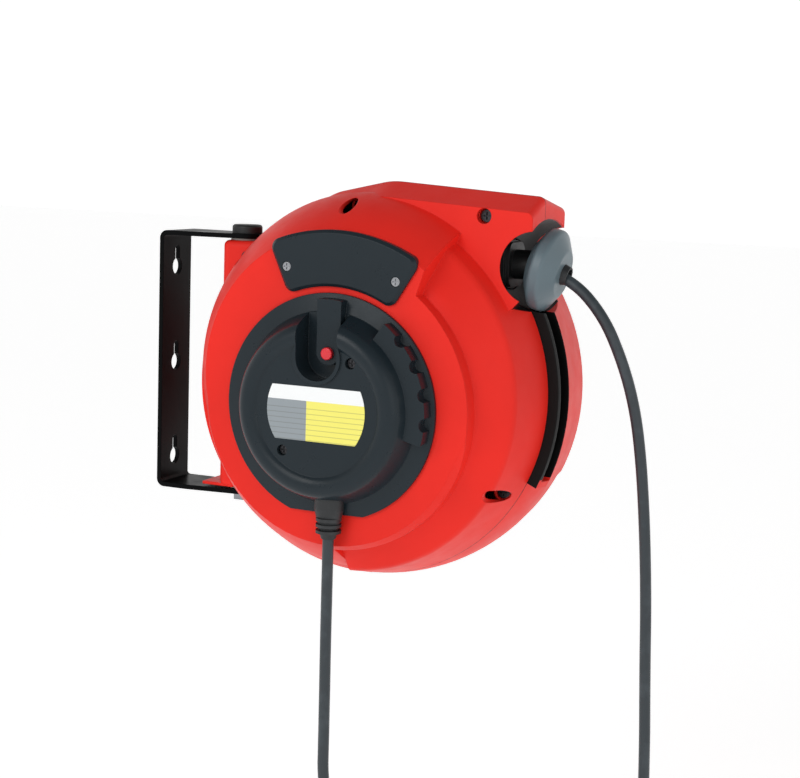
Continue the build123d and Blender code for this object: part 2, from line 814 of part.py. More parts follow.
save(front_cover, "front_cover")

with BuildPart() as cover_screws:
    for x, z in COVER_SCREWS:
        with BuildSketch(front_plane(x, CAVITY_FACE_Y, z)):
            Circle(1.9)
        extrude(amount=CAVITY_FACE_Y - COVER_SCREW_Y - 4)
        with BuildSketch(front_plane(x, COVER_SCREW_Y + 4, z)):
            Circle(3.8)
        extrude(amount=2.8)
        with BuildSketch(front_plane(x, COVER_SCREW_Y + 2.4, z)):
            Rectangle(5, 1)
            Rectangle(1, 5)
        extrude(amount=4, mode=Mode.SUBTRACT)
save(cover_screws, "cover_screws")

LABEL_T = 0.4
with BuildPart() as rating_label:
    with BuildSketch(cover_plane(COVER_FACE_Y)):
        Circle(43)
        with Locations((0, -2.75)):
            Rectangle(90, 43.5, mode=Mode.INTERSECT)
    extrude(amount=LABEL_T)
save(rating_label, "rating_label")

# ---------------------------------------------------------------- front panel
def panel_face(shrink):
    """Outline of the front panel, about the cover's centre."""
    start = PANEL_START_DEG + degrees(shrink / PANEL_SCREW_R)
    end = PANEL_END_DEG - degrees(shrink / PANEL_SCREW_R)
    with BuildSketch() as face:
        add(sector_face(PANEL_IN_R + shrink, PANEL_OUT_R - shrink, start, end))
        fillet(face.vertices(), 8 - shrink)
    return face.sketch


with BuildPart() as front_panel:
    with BuildSketch(cover_plane(-44)):
        add(panel_face(0))
    extrude(amount=-44 - PANEL_FACE_Y)
    chamfer(front_panel.faces().sort_by(Axis.Y)[0].edges(), 2.5)
    with BuildSketch(cover_plane(-44)):
        add(panel_face(3))
    extrude(amount=-44 - PANEL_FACE_Y - 3, mode=Mode.SUBTRACT)
    with BuildSketch(cover_plane(FACE_Y + 6)):
        with Locations(*[polar(PANEL_SCREW_R, angle) for angle in PANEL_SCREW_DEG]):
            Circle(6)
    extrude(amount=FACE_Y + 6 - PANEL_FACE_Y - 1)
    add(raised, mode=Mode.SUBTRACT)
    with BuildSketch(cover_plane(PANEL_FACE_Y + 3)):
        with Locations(*[polar(PANEL_SCREW_R, angle) for angle in PANEL_SCREW_DEG]):
            Circle(4)
    extrude(amount=6, mode=Mode.SUBTRACT)
    with BuildSketch(cover_plane(FACE_Y + 20)):
        with Locations(*[polar(PANEL_SCREW_R, angle) for angle in PANEL_SCREW_DEG]):
            Circle(1.9)
    extrude(amount=30, mode=Mode.SUBTRACT)
save(front_panel, "front_panel")

with BuildPart() as panel_screws:
    with BuildSketch(cover_plane(FACE_Y + 7)):
        with Locations(*[polar(PANEL_SCREW_R, angle) for angle in PANEL_SCREW_DEG]):
            Circle(1.9)
    extrude(amount=FACE_Y + 7 - PANEL_FACE_Y - 3)
    with BuildSketch(cover_plane(PANEL_FACE_Y + 3)):
        with Locations(*[polar(PANEL_SCREW_R, angle) for angle in PANEL_SCREW_DEG]):
            Circle(3.6)
    extrude(amount=2.6)
    with BuildSketch(cover_plane(PANEL_FACE_Y + 1.4)):
        with Locations(*[polar(PANEL_SCREW_R, angle) for angle in PANEL_SCREW_DEG]):
            Rectangle(5, 1)
            Rectangle(1, 5)
    extrude(amount=4, mode=Mode.SUBTRACT)
save(panel_screws, "panel_screws")

# ---------------------------------------------------------------- thermal cut-out
with BuildPart() as thermal_cut_out:
    with BuildSketch(front_plane(TONGUE_X, CUT_OUT_BACK_Y, BUTTON_Z)):
        RectangleRounded(CUT_OUT_W, CUT_OUT_W, 2)
    extrude(amount=CUT_OUT_BACK_Y - CUT_OUT_FRONT_Y)
    with BuildSketch(front_plane(TONGUE_X, CUT_OUT_FRONT_Y + 12, BUTTON_Z)):
        Circle(STEM_R + 0.05)
    extrude(amount=20, mode=Mode.SUBTRACT)
    with BuildSketch(front_plane(TONGUE_X, CUT_OUT_BACK_Y + 7, BUTTON_Z)):
        with Locations((-5, 0), (5, 0)):
            Rectangle(0.8, 6.3)
    extrude(amount=7)
save(thermal_cut_out, "thermal_cut_out")

with BuildPart() as reset_button:
    with BuildSketch(front_plane(TONGUE_X, COLLAR_Y + COLLAR_T, BUTTON_Z)):
        Circle(BUTTON_R)
    extrude(amount=COLLAR_Y + COLLAR_T - TONGUE_Y + 3.5)
    fillet(reset_button.edges().group_by(Axis.Y)[0], 1.2)
    with BuildSketch(front_plane(TONGUE_X, COLLAR_Y + COLLAR_T, BUTTON_Z)):
        Circle(COLLAR_R)
    extrude(amount=COLLAR_T)
    with BuildSketch(front_plane(TONGUE_X, CUT_OUT_FRONT_Y + 4, BUTTON_Z)):
        Circle(STEM_R)
    extrude(amount=CUT_OUT_FRONT_Y + 4 - COLLAR_Y)
save(reset_button, "reset_button")

SPRING_WIRE_R = 0.4
SPRING_TURNS = 4
spring_gap = CUT_OUT_FRONT_Y - COLLAR_Y - COLLAR_T - 2 * SPRING_WIRE_R - 0.2
with BuildPart() as button_spring:
    with BuildLine() as coil:
        Helix(
            spring_gap / SPRING_TURNS,
            spring_gap,
            3.6,
            center=(TONGUE_X, CUT_OUT_FRONT_Y - SPRING_WIRE_R - 0.1, BUTTON_Z),
            direction=(0, -1, 0),
        )
    with BuildSketch(Plane(origin=coil.line @ 0, z_dir=coil.line % 0)):
        Circle(SPRING_WIRE_R)
    sweep(path=coil.line)
save(button_spring, "button_spring")

# ---------------------------------------------------------------- supply cord's strain relief
with BuildPart() as strain_relief:
    with BuildSketch(level_plane(-98, GLAND_X, GLAND_Y)):
        Ellipse(GLAND_W, GLAND_D)
    extrude(amount=14)
    with BuildSketch(level_plane(-98, GLAND_X, GLAND_Y)):
        Ellipse(GLAND_W, GLAND_D)
    with BuildSketch(level_plane(-122, GLAND_X, GLAND_Y)):
        Circle(6)
    loft()
    with Locations(*[(GLAND_X, GLAND_Y, -106 - 5 * rib) for rib in range(3)]):
        Cylinder(10.4, 2.4)
    with BuildSketch(level_plane(-125, GLAND_X, GLAND_Y)):
        Circle(CORD_R)
    extrude(amount=60, mode=Mode.SUBTRACT)
    with Locations((GLAND_X, FACE_Y + 10, -100)):
        Box(60, 20, 60, mode=Mode.SUBTRACT)
save(strain_relief, "strain_relief")

# ================================================================ shaft and drum
with BuildPart() as main_shaft:
    with BuildSketch(drum_plane(SHAFT_REAR_Y)):
        Circle(SHAFT_R)
    extrude(amount=SHAFT_REAR_Y - SHAFT_FRONT_Y)
    chamfer(main_shaft.edges().group_by(Axis.Y)[-1], 1)
save(main_shaft, "main_shaft")

with BuildPart() as shaft_nut:
    with BuildSketch(drum_plane(REAR_Y + 6.5)):
        RegularPolygon(13, 6)
        Circle(SHAFT_R, mode=Mode.SUBTRACT)
    extrude(amount=5)
    with BuildSketch(drum_plane(REAR_Y + 1.5)):
        Circle(16)
        Circle(SHAFT_R, mode=Mode.SUBTRACT)
    extrude(amount=1.5)
save(shaft_nut, "shaft_nut")

DRUM_BUSH_R = 12.0
HUB_T = 4.0
SPIGOT = 6.0
TIE_R = 58.0
TIE_SCREW_R = 2.0
hub_y0 = DRUM_Y0 + FLANGE_T
hub_y1 = DRUM_Y1 - FLANGE_T


def drum_flange(outer_y, side):
    """Drum flange with its bearing boss; side is 1 when the drum lies behind it."""
    with BuildPart() as flange:
        with BuildSketch(drum_plane(outer_y)):
            Circle(FLANGE_R)
            Circle(DRUM_BUSH_R, mode=Mode.SUBTRACT)
        extrude(amount=-side * FLANGE_T)
        # rolled edge
        with BuildSketch(drum_plane(outer_y)):
            Circle(FLANGE_R)
            Circle(FLANGE_R - 3, mode=Mode.SUBTRACT)
        extrude(amount=-side * (FLANGE_T + 2))
        # bearing boss and the ring that centres the hub
        with BuildSketch(drum_plane(outer_y)):
            Circle(DRUM_BUSH_R + 5)
            Circle(DRUM_BUSH_R, mode=Mode.SUBTRACT)
        extrude(amount=-side * 16)
        with BuildSketch(drum_plane(outer_y)):
            Circle(HUB_R - HUB_T)
            Circle(HUB_R - HUB_T - 3, mode=Mode.SUBTRACT)
        extrude(amount=-side * (FLANGE_T + SPIGOT))
        # radial ribs inside the hub
        with BuildSketch(drum_plane(outer_y)):
            with PolarLocations((DRUM_BUSH_R + HUB_R - 4) / 2, 8, start_angle=22.5):
                Rectangle(HUB_R - DRUM_BUSH_R - 8, 2.4)
        extrude(amount=-side * (FLANGE_T + 4))
        with BuildSketch(drum_plane(outer_y)):
            with PolarLocations(TIE_R, 4):
                Circle(TIE_SCREW_R)
        extrude(amount=-side * 20, mode=Mode.SUBTRACT)
        # windows between hub and rim
        with BuildSketch(drum_plane(outer_y)):
            for step in range(6):
                add(sector_face(PACK_R + 5, FLANGE_R - 8, 60 * step + 8, 60 * step + 52))
        extrude(amount=-side * (FLANGE_T + 2), mode=Mode.SUBTRACT)
    return flange.part


with BuildPart() as drum_front_flange:
    add(drum_flange(DRUM_Y0, 1))
save(drum_front_flange, "drum_front_flange")

with BuildPart() as drum_rear_flange:
    add(drum_flange(DRUM_Y1, -1))
save(drum_rear_flange, "drum_rear_flange")

with BuildPart() as drum_hub:
    with BuildSketch(drum_plane(hub_y1)):
        Circle(HUB_R)
        Circle(HUB_R - HUB_T, mode=Mode.SUBTRACT)
    extrude(amount=hub_y1 - hub_y0)
save(drum_hub, "drum_hub")

with BuildPart() as drum_tie_screws:
    with BuildSketch(drum_plane(DRUM_Y1)):
        with PolarLocations(TIE_R, 4):
            Circle(TIE_SCREW_R)
    extrude(amount=DRUM_Y1 - DRUM_Y0)
    with BuildSketch(drum_plane(DRUM_Y0)):
        with PolarLocations(TIE_R, 4):
            Circle(3.8)
    extrude(amount=2.6)
save(drum_tie_screws, "drum_tie_screws")


def drum_bush(outer_y, side, name):
    with BuildPart() as bush:
        with BuildSketch(drum_plane(outer_y)):
            Circle(DRUM_BUSH_R)
            Circle(SHAFT_R + RUN_FIT, mode=Mode.SUBTRACT)
        extrude(amount=-side * 16)
    save(bush, name)


drum_bush(DRUM_Y0, 1, "front_drum_bush")
drum_bush(DRUM_Y1, -1, "rear_drum_bush")

# wound cord: scalloped outline, one arc for each turn of the outer layer
PACK_TURNS = 9
pack_pitch = 2 * CORD_R
pack_y0 = CORD_Y - (PACK_TURNS // 2 + 0.5) * pack_pitch
with BuildPart() as wound_cord:
    with BuildSketch(DRUM_PROFILE):
        with BuildLine():
            for turn in range(PACK_TURNS):
                low = pack_y0 + turn * pack_pitch
                ThreePointArc(
                    (PACK_R - CORD_R, low),
                    (PACK_R, low + CORD_R),
                    (PACK_R - CORD_R, low + pack_pitch),
                )
            pack_y1 = pack_y0 + PACK_TURNS * pack_pitch
            Polyline(
                (PACK_R - CORD_R, pack_y1),
                (HUB_R, pack_y1),
                (HUB_R, pack_y0),
                (PACK_R - CORD_R, pack_y0),
            )
        make_face()
    revolve(axis=DRUM_AXIS)
save(wound_cord, "wound_cord")

# ---------------------------------------------------------------- spring motor
PAN_R = 98.0
PAN_T = 2.0
PAN_Y1 = 74.5
LID_T = 1.5
ARBOR_R = 14.0
SPRING_TURN_COUNT = 11
STRIP_T = 1.2
spring_pitch = (PAN_R - PAN_T - ARBOR_R - 6) / SPRING_TURN_COUNT

with BuildPart() as spring_pan:
    with BuildSketch(drum_plane(PAN_Y1)):
        Circle(PAN_R)
        Circle(PAN_R - PAN_T, mode=Mode.SUBTRACT)
    extrude(amount=PAN_Y1 - DRUM_Y1)
save(spring_pan, "spring_pan")

with BuildPart() as spring_lid:
    with BuildSketch(drum_plane(PAN_Y1 + LID_T)):
        Circle(PAN_R)
        Circle(ARBOR_R + 1, mode=Mode.SUBTRACT)
    extrude(amount=LID_T)
save(spring_lid, "spring_lid")

with BuildPart() as spring_arbor:
    with BuildSketch(drum_plane(CAVITY_REAR_Y - 3)):
        Circle(ARBOR_R)
        Circle(SHAFT_R, mode=Mode.SUBTRACT)
    extrude(amount=CAVITY_REAR_Y - 3 - DRUM_Y1 - 2)
save(spring_arbor, "spring_arbor")

with BuildPart() as power_spring:
    with BuildSketch(drum_plane(PAN_Y1 - 2)):
        for turn in range(SPRING_TURN_COUNT):
            start_r = ARBOR_R + 2 + turn * spring_pitch
            add(sector_face(start_r, start_r + STRIP_T, 0, 180))
            with Locations((spring_pitch / 2, 0)):
                add(sector_face(start_r + spring_pitch / 2, start_r + spring_pitch / 2 + STRIP_T, 180, 360))
    extrude(amount=PAN_Y1 - DRUM_Y1 - 4)
save(power_spring, "power_spring")

# ---------------------------------------------------------------- slip rings and brushes
CARRIER_Y = -50.0
RING_FACE_Y = -51.2
SLIP_RING_R = (24.0, 31.0, 38.0)
RING_W = 4.0
HOLDER_Y = -58.0
BRUSH_GAP = 0.3

with BuildPart() as slip_ring_carrier:
    with BuildSketch(drum_plane(DRUM_Y0)):
        Circle(46)
        Circle(DRUM_BUSH_R + 5, mode=Mode.SUBTRACT)
    extrude(amount=DRUM_Y0 - CARRIER_Y)
save(slip_ring_carrier, "slip_ring_carrier")

with BuildPart() as slip_rings:
    with BuildSketch(drum_plane(CARRIER_Y)):
        for ring_r in SLIP_RING_R:
            add(sector_face(ring_r, ring_r + RING_W, 0, 180))
            add(sector_face(ring_r, ring_r + RING_W, 180, 360))
    extrude(amount=CARRIER_Y - RING_FACE_Y)
save(slip_rings, "slip_rings")

with BuildPart() as brush_holder:
    with BuildSketch(drum_plane(HOLDER_Y)):
        with Locations((-34, 0)):
            Rectangle(26, 18)
        for ring_r in SLIP_RING_R:
            with Locations((-ring_r - RING_W / 2, 0)):
                Rectangle(RING_W - 0.6, 8, mode=Mode.SUBTRACT)
    extrude(amount=HOLDER_Y - CAVITY_FACE_Y)
save(brush_holder, "brush_holder")

with BuildPart() as brushes:
    with BuildSketch(drum_plane(RING_FACE_Y - BRUSH_GAP)):
        for ring_r in SLIP_RING_R:
            with Locations((-ring_r - RING_W / 2, 0)):
                Rectangle(RING_W - 0.6, 8)
    extrude(amount=14)
save(brushes, "brushes")

with BuildPart() as terminal_block:
    with BuildSketch(front_plane(172, -62, 78)):
        RectangleRounded(40, 20, 2)
    extrude(amount=-62 - CAVITY_FACE_Y)
    with BuildSketch(front_plane(172, -62, 78)):
        with GridLocations(12, 10, 3, 2):
            Circle(2)
    extrude(amount=10, mode=Mode.SUBTRACT)
save(terminal_block, "terminal_block")

# ---------------------------------------------------------------- ratchet and pawl
RATCHET_IN_R = 50.0
RATCHET_ROOT_R = 56.0
RATCHET_TIP_R = 60.0
RATCHET_T = 5.0
PAWL_DEG = -60.0
PAWL_PIN_R = 3.0
PAWL_T = 4.0
pawl_pin_r = 78.0
pawl_x, pawl_z = polar(pawl_pin_r, PAWL_DEG)

with BuildPart() as ratchet_ring:
    with BuildSketch(drum_plane(DRUM_Y0 - 2.8)):
        Circle(RATCHET_ROOT_R)
        for tooth in range(TOOTH_COUNT):
            angle = tooth * 360 / TOOTH_COUNT
            with BuildLine():
                Polyline(
                    polar(RATCHET_ROOT_R - 1, angle),
                    polar(RATCHET_TIP_R, angle),
                    polar(RATCHET_ROOT_R - 1, angle + 360 / TOOTH_COUNT),
                    close=True,
                )
            make_face()
        Circle(RATCHET_IN_R, mode=Mode.SUBTRACT)
    extrude(amount=RATCHET_T)
    with BuildSketch(drum_plane(DRUM_Y0)):
        Circle(RATCHET_ROOT_R - 2)
        Circle(RATCHET_IN_R, mode=Mode.SUBTRACT)
    extrude(amount=2.8)
    with BuildSketch(drum_plane(DRUM_Y0)):
        with PolarLocations(TIE_R, 4):
            Circle(4.2)
    extrude(amount=2.8, mode=Mode.SUBTRACT)
save(ratchet_ring, "ratchet_ring")

pawl_plane = front_plane(AXIS_X + pawl_x, DRUM_Y0 - 3.3, AXIS_Z + pawl_z)
with BuildPart() as pawl_pin:
    with BuildSketch(pawl_plane):
        Circle(PAWL_PIN_R)
    extrude(amount=DRUM_Y0 - 3.3 - CAVITY_FACE_Y)
    with BuildSketch(front_plane(AXIS_X + pawl_x, -60, AXIS_Z + pawl_z)):
        Circle(6)
    extrude(amount=-60 - CAVITY_FACE_Y)
save(pawl_pin, "pawl_pin")

with BuildPart() as pawl:
    with BuildSketch(pawl_plane):
        Circle(6)
        with BuildLine():
            Polyline(
                (-4, -4.5),
                (-30, 3.5),
                (-29, 6),
                (0, 6),
                close=True,
            )
        make_face()
        Circle(PAWL_PIN_R + RUN_FIT, mode=Mode.SUBTRACT)
    extrude(amount=PAWL_T)
save(pawl, "pawl")

with BuildPart() as pawl_spring:
    with BuildLine() as coil:
        Helix(1.4, 5.6, 4.0, center=(AXIS_X + pawl_x, -52.5, AXIS_Z + pawl_z), direction=(0, -1, 0))
    with BuildSketch(Plane(origin=coil.line @ 0, z_dir=coil.line % 0)):
        Circle(0.5)
    sweep(path=coil.line)
save(pawl_spring, "pawl_spring")

# ================================================================ roller guide and cord stop
ROLLER_R = 5.0
ROLLER_L = 27.0
ROLLER_GAP = 0.6
PIN_R = 1.6
roller_reach = CORD_R + ROLLER_GAP + ROLLER_R
side_roller_x = GUIDE_X - 5.5
level_roller_x = GUIDE_X + 5.5
guide_end_x = GUIDE_X + GUIDE_L / 2
guide_plane = Plane(origin=(GUIDE_X - GUIDE_L / 2, CORD_Y, RUN_Z), x_dir=(0, 1, 0), z_dir=(1, 0, 0))
stop_dir = (cos(radians(STOP_TILT_DEG)), 0, -sin(radians(STOP_TILT_DEG)))
STOP_REACH = 14.5
STOP_R = 34.0
STOP_HALF_T = 13.0
stop_centre = (
    BEND_X + STOP_REACH * stop_dir[0],
    CORD_Y,
    RUN_Z + STOP_REACH * stop_dir[2],
)
stop_profile = Plane(origin=stop_centre, x_dir=stop_dir, z_dir=(0, 1, 0))
stop_axis = Axis(stop_centre, stop_dir)


def stop_form():
    """The ball-like stop before it is split, revolved about the tilted cord."""
    with BuildPart() as form:
        with BuildSketch(stop_profile):
            with BuildLine():
                FilletPolyline(
                    (-STOP_HALF_T, 0),
                    (-STOP_HALF_T, 21),
                    (-5, STOP_R),
                    (4, STOP_R),
                    (STOP_HALF_T, 19),
                    (STOP_HALF_T, 0),
                    radius=4,
                )
                Line((STOP_HALF_T, 0), (-STOP_HALF_T, 0))
            make_face()
        revolve(axis=stop_axis)
    return form.part


stop_solid = stop_form()

with BuildPart() as guide_frame:
    with BuildSketch(guide_plane):
        Rectangle(GUIDE_W, GUIDE_W)
        Rectangle(ROLLER_L + 5, ROLLER_L + 5, mode=Mode.SUBTRACT)
    extrude(amount=GUIDE_L)
    with BuildSketch(guide_plane.offset(GUIDE_L)):
        RectangleRounded(GUIDE_W - 8, GUIDE_W - 8, 9)
        Circle(CORD_R + 1, mode=Mode.SUBTRACT)
    extrude(amount=3)
    with BuildSketch(guide_plane.offset(GUIDE_L)):
        Circle(12)
        Circle(CORD_R + 1, mode=Mode.SUBTRACT)
    extrude(amount=20)
    add(stop_solid, mode=Mode.SUBTRACT)
    with Locations(*[(side_roller_x, CORD_Y + side * roller_reach, RUN_Z) for side in (-1, 1)]):
        Cylinder(PIN_R, ROLLER_L + 12, mode=Mode.SUBTRACT)
    with Locations(*[(level_roller_x, CORD_Y, RUN_Z + side * roller_reach) for side in (-1, 1)]):
        Cylinder(PIN_R, ROLLER_L + 12, rotation=(90, 0, 0), mode=Mode.SUBTRACT)
save(guide_frame, "guide_frame")

with BuildPart() as roller_pins:
    with Locations(*[(side_roller_x, CORD_Y + side * roller_reach, RUN_Z) for side in (-1, 1)]):
        Cylinder(PIN_R, ROLLER_L + 12)
    with Locations(*[(level_roller_x, CORD_Y, RUN_Z + side * roller_reach) for side in (-1, 1)]):
        Cylinder(PIN_R, ROLLER_L + 12, rotation=(90, 0, 0))
save(roller_pins, "roller_pins")


def guide_roller(centre, tilt, name):
    with BuildPart() as roller:
        with Locations(centre):
            Cylinder(ROLLER_R, ROLLER_L, rotation=(tilt, 0, 0))
            Cylinder(PIN_R + RUN_FIT, ROLLER_L, rotation=(tilt, 0, 0), mode=Mode.SUBTRACT)
    save(roller, name)


guide_roller((side_roller_x, CORD_Y - roller_reach, RUN_Z), 0, "front_roller")
guide_roller((side_roller_x, CORD_Y + roller_reach, RUN_Z), 0, "rear_roller")
guide_roller((level_roller_x, CORD_Y, RUN_Z - roller_reach), 90, "lower_roller")
guide_roller((level_roller_x, CORD_Y, RUN_Z + roller_reach), 90, "upper_roller")

# ---------------------------------------------------------------- cord stop in two halves
SEAM_DEG = 45.0
NOZZLE_R = 8.5
NOZZLE_L = 5.0
NOZZLE_BORE_R = 6.0
STOP_SCREW_R = 1.8
stop_plane = Plane(origin=stop_centre, x_dir=(0, 1, 0), z_dir=stop_dir)
seam = radians(SEAM_DEG)
seam_dir = (sin(seam) * -stop_dir[2], cos(seam), sin(seam) * stop_dir[0])
seam_plane = Plane(origin=stop_centre, x_dir=seam_dir, z_dir=stop_dir)


def stop_half(side, name):
    with BuildPart() as half:
        add(stop_solid)
        with BuildSketch(seam_plane.offset(-40)):
            with Locations((0, -side * 50)):
                Rectangle(200, 100)
        extrude(amount=80, mode=Mode.SUBTRACT)
        with BuildSketch(stop_plane.offset(-40)):
            Circle(CORD_R)
        extrude(amount=80, mode=Mode.SUBTRACT)
        with BuildSketch(stop_plane.offset(STOP_HALF_T - 8)):
            Circle(NOZZLE_R)
        extrude(amount=20, mode=Mode.SUBTRACT)
        for offset in (-20, 20):
            with Locations(Location(seam_plane) * Location((offset, 0, -1), (90, 0, 0))):
                Cylinder(STOP_SCREW_R, 32, mode=Mode.SUBTRACT)
    save(half, name)


stop_half(1, "stop_half_upper")
stop_half(-1, "stop_half_lower")

with BuildPart() as stop_screws:
    for offset in (-20, 20):
        with Locations(Location(seam_plane) * Location((offset, 0, -1), (90, 0, 0))):
            Cylinder(STOP_SCREW_R, 32)
save(stop_screws, "stop_screws")

with BuildPart() as stop_nozzle:
    with BuildSketch(stop_plane.offset(STOP_HALF_T - 8)):
        Circle(NOZZLE_R)
    extrude(amount=8)
    with BuildSketch(stop_plane.offset(STOP_HALF_T)):
        Circle(NOZZLE_R)
    with BuildSketch(stop_plane.offset(STOP_HALF_T + NOZZLE_L)):
        Circle(NOZZLE_R - 1.2)
    loft()
    with BuildSketch(stop_plane.offset(STOP_HALF_T - 8)):
        Circle(NOZZLE_BORE_R)
    extrude(amount=8 + NOZZLE_L, mode=Mode.SUBTRACT)
save(stop_nozzle, "stop_nozzle")

with BuildPart() as inner_cord_run:
    with BuildSketch(Plane(origin=(AXIS_X, CORD_Y, RUN_Z), z_dir=(1, 0, 0))):
        Circle(CORD_R)
    extrude(amount=BEND_X - AXIS_X)
    add(stop_solid, mode=Mode.SUBTRACT)
save(inner_cord_run, "inner_cord_run")

# ================================================================ outlet cord and its connector
CONNECTOR_X = 450.5
CONNECTOR_TOP_Z = -352.0
CONNECTOR_L = 88.0
SOCKET_R = 19.5
SOCKET_DEPTH = 17.0

with BuildPart() as outlet_connector:
    with BuildSketch(Plane.XZ.offset(-CORD_Y)):
        with BuildLine():
            FilletPolyline(
                (CONNECTOR_X, CONNECTOR_TOP_Z),
                (CONNECTOR_X + 7, CONNECTOR_TOP_Z),
                (CONNECTOR_X + 9.5, CONNECTOR_TOP_Z - 26),
                (CONNECTOR_X + 21, CONNECTOR_TOP_Z - 44),
                (CONNECTOR_X + 24, CONNECTOR_TOP_Z - 62),
                (CONNECTOR_X + 24, CONNECTOR_TOP_Z - CONNECTOR_L),
                (CONNECTOR_X, CONNECTOR_TOP_Z - CONNECTOR_L),
                radius=[1, 10, 12, 10, 1.5],
            )
            Line((CONNECTOR_X, CONNECTOR_TOP_Z - CONNECTOR_L), (CONNECTOR_X, CONNECTOR_TOP_Z))
        make_face()
    revolve(axis=Axis((CONNECTOR_X, CORD_Y, 0), (0, 0, 1)))
    with BuildSketch(level_plane(CONNECTOR_TOP_Z - CONNECTOR_L, CONNECTOR_X, CORD_Y)):
        Circle(SOCKET_R)
    extrude(amount=SOCKET_DEPTH, mode=Mode.SUBTRACT)
    with BuildSketch(level_plane(CONNECTOR_TOP_Z - CONNECTOR_L, CONNECTOR_X, CORD_Y)):
        with Locations((-9.5, 0), (9.5, 0)):
            Circle(2.5)
    extrude(amount=SOCKET_DEPTH + 20, mode=Mode.SUBTRACT)
save(outlet_connector, "outlet_connector")

outlet_route = [
    (BEND_X + 3, CORD_Y, RUN_Z - 0.7),
    (365, CORD_Y, 93.1),
    (395, CORD_Y, 65),
    (414, CORD_Y, 27),
    (426, CORD_Y, -10),
    (433, CORD_Y, -50),
    (438.5, CORD_Y, -100),
    (443, CORD_Y, -160),
    (445.6, CORD_Y, -225),
    (449, CORD_Y, -290),
    (CONNECTOR_X, CORD_Y, CONNECTOR_TOP_Z),
]
cord_tube(outlet_route, CORD_R, outlet_connector.part + stop_nozzle.part, "outlet_cord")

# ================================================================ supply lead: coil, tie and plug
COIL_R = 50.0
COIL_HALF_T = 5.2
COIL_X = 207.0
COIL_Z = -420.0
COIL_Y0 = GLAND_Y - 5.2
COIL_Y1 = GLAND_Y + 25.0
PLUG_TOP_Z = -466.0
PLUG_L = 48.0
PIN_L = 19.0
PIN_PITCH = 19.0

with BuildPart() as supply_coil:
    with BuildSketch(front_plane(COIL_X, COIL_Y1, COIL_Z)):
        Circle(COIL_R + COIL_HALF_T)
        Circle(COIL_R - COIL_HALF_T, mode=Mode.SUBTRACT)
    extrude(amount=COIL_Y1 - COIL_Y0)
save(supply_coil, "supply_coil")

supply_route = [
    (GLAND_X, GLAND_Y, -101),
    (GLAND_X, GLAND_Y, -190),
    (GLAND_X + 0.8, GLAND_Y, -270),
    (COIL_X, GLAND_Y, -345),
    (244.3, GLAND_Y, -386.7),
]
cord_tube(supply_route, CORD_R, supply_coil.part, "supply_cord")

with BuildPart() as supply_tail:
    with BuildSketch(level_plane(PLUG_TOP_Z, COIL_X + COIL_R, COIL_Y1 - 5.2)):
        Circle(CORD_R)
    extrude(amount=COIL_Z - PLUG_TOP_Z)
    add(supply_coil.part, mode=Mode.SUBTRACT)
save(supply_tail, "supply_tail")

with BuildPart() as coil_tie:
    with Locations((COIL_X, (COIL_Y0 + COIL_Y1) / 2, COIL_Z + COIL_R)):
        Box(15, COIL_Y1 - COIL_Y0 + 3.2, 2 * COIL_HALF_T + 3.2)
    add(supply_coil.part, mode=Mode.SUBTRACT)
save(coil_tie, "coil_tie")

plug_x = COIL_X + COIL_R
plug_y = COIL_Y1 - 5.2
with BuildPart() as supply_plug:
    with BuildSketch(Plane.XZ.offset(-plug_y)):
        with BuildLine():
            FilletPolyline(
                (plug_x, PLUG_TOP_Z),
                (plug_x + 6.5, PLUG_TOP_Z),
                (plug_x + 9, PLUG_TOP_Z - 20),
                (plug_x + 18.5, PLUG_TOP_Z - 30),
                (plug_x + 18.5, PLUG_TOP_Z - PLUG_L),
                (plug_x, PLUG_TOP_Z - PLUG_L),
                radius=[1, 8, 8, 1.5],
            )
            Line((plug_x, PLUG_TOP_Z - PLUG_L), (plug_x, PLUG_TOP_Z))
        make_face()
    revolve(axis=Axis((plug_x, plug_y, 0), (0, 0, 1)))
save(supply_plug, "supply_plug")

with BuildPart() as plug_pins:
    with BuildSketch(level_plane(PLUG_TOP_Z - PLUG_L, plug_x, plug_y)):
        with Locations((-PIN_PITCH / 2, 0), (PIN_PITCH / 2, 0)):
            Circle(2.4)
    extrude(amount=-PIN_L)
    fillet(plug_pins.edges().group_by(Axis.Z)[0], 1.8)
save(plug_pins, "plug_pins")
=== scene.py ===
"""Extension cord reel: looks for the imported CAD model. Everything is in metres."""

import json
from math import cos, radians, sin

import bmesh
import bpy
from mathutils import Matrix, Vector


